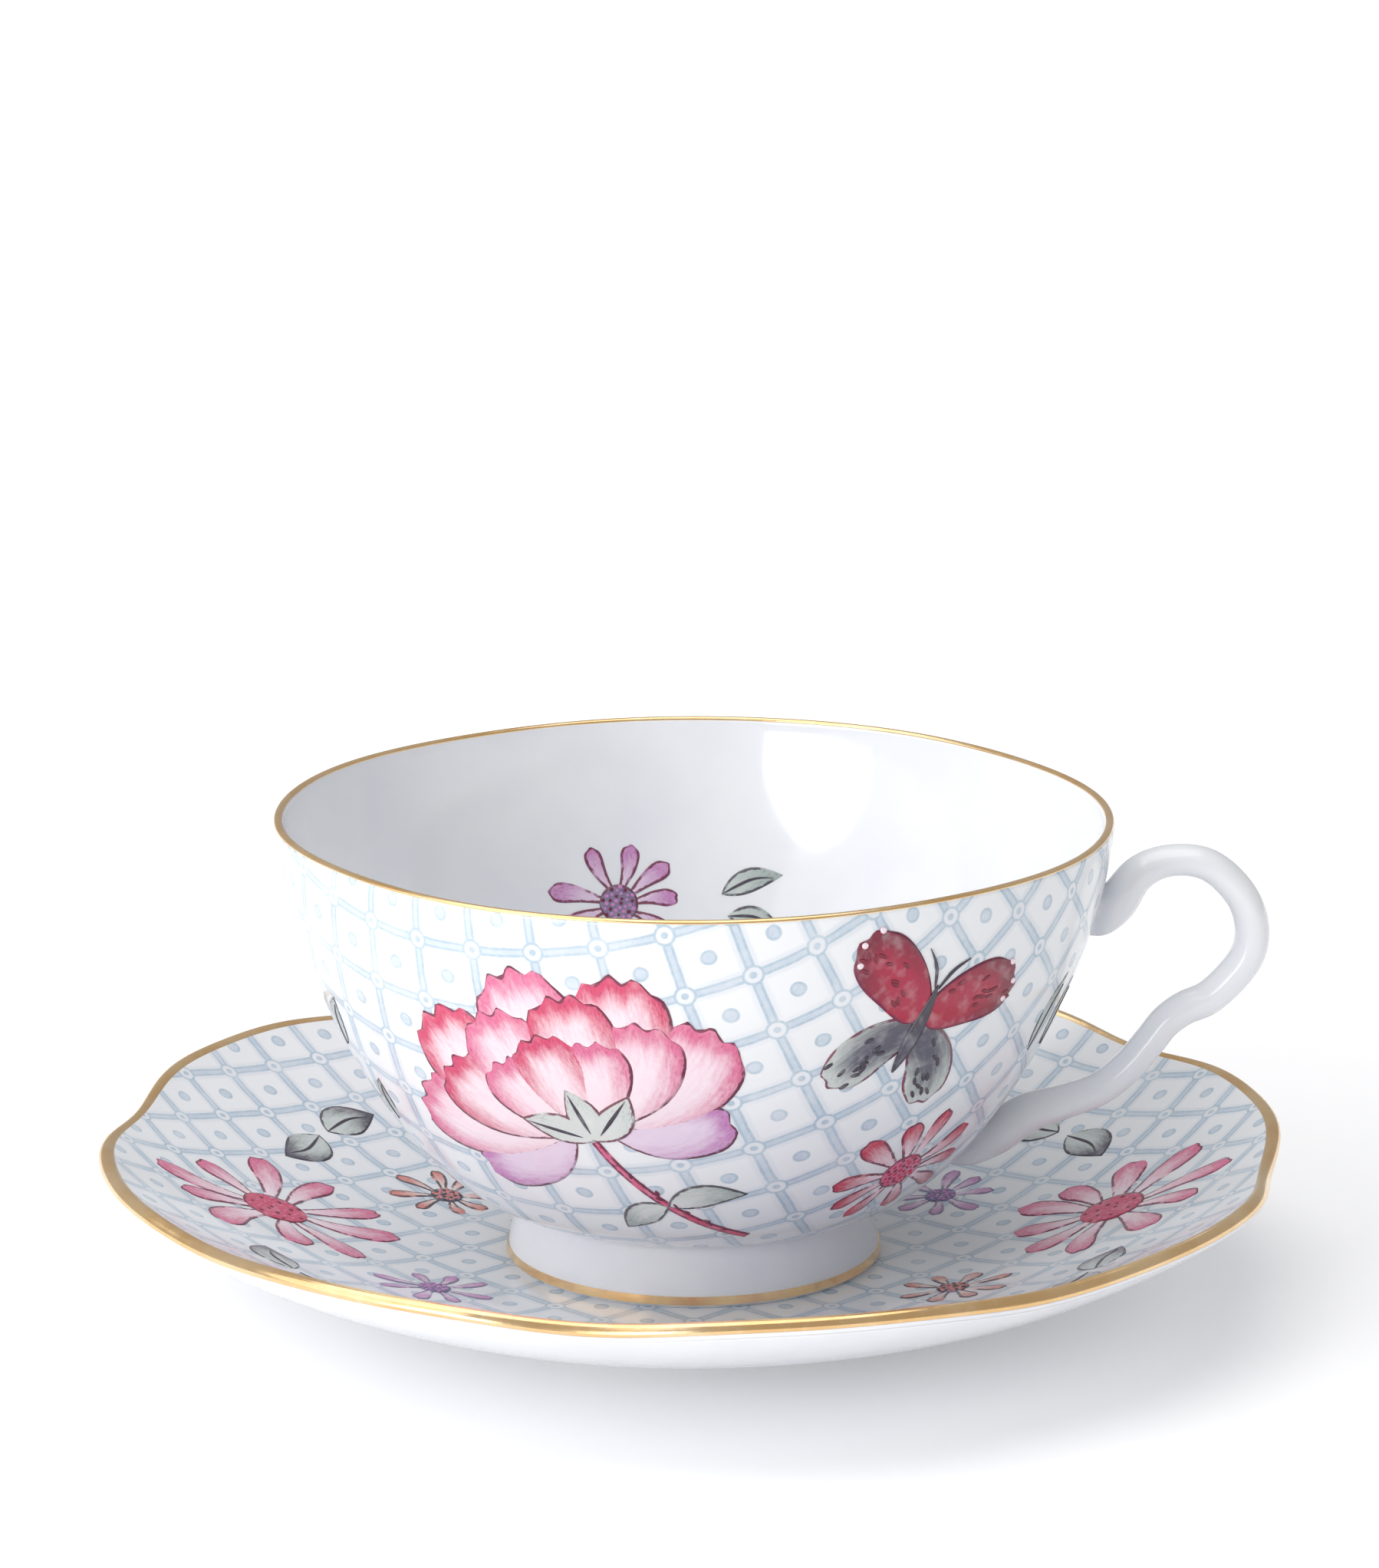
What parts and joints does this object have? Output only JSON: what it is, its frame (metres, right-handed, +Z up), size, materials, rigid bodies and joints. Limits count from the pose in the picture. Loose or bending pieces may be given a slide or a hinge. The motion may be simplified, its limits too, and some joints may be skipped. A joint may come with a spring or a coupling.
{
  "type": "teacup",
  "caption": "Footed china teacup with a looped handle and gilded lip, standing in the well of a shallow lobed saucer with a gilded edge.",
  "frame": {"origin": "centre of the saucer's foot ring, on the plane that the saucer stands on", "axes": "+Z up along the axis of cup and saucer, +X towards the handle"},
  "size_m": [0.1488, 0.1488, 0.0606],
  "materials": {
    "decorated_china": "glossy glaze over a pale blue printed lattice with painted flowers",
    "white_china": "plain white glossy glaze",
    "gilding": "burnished fired gold",
    "slip": "fired slip under glaze"
  },
  "bodies": {
    "saucer": {"saucer_plate": "decorated_china", "saucer_foot_ring": "white_china", "saucer_rim_gilding": "gilding"},
    "cup": {"cup_bowl": "decorated_china", "cup_rim_gilding": "gilding", "foot_slip_joint": "slip", "cup_foot": "white_china", "cup_foot_gilding": "gilding", "handle": "white_china", "upper_slip_joint": "slip", "lower_slip_joint": "slip"}
  },
  "joints": [
    {"name": "cup_lift", "type": "slide", "parent": "saucer", "child": "cup", "axis": [0, 0, 1], "range_m": [0, 0.08]}
  ]
}
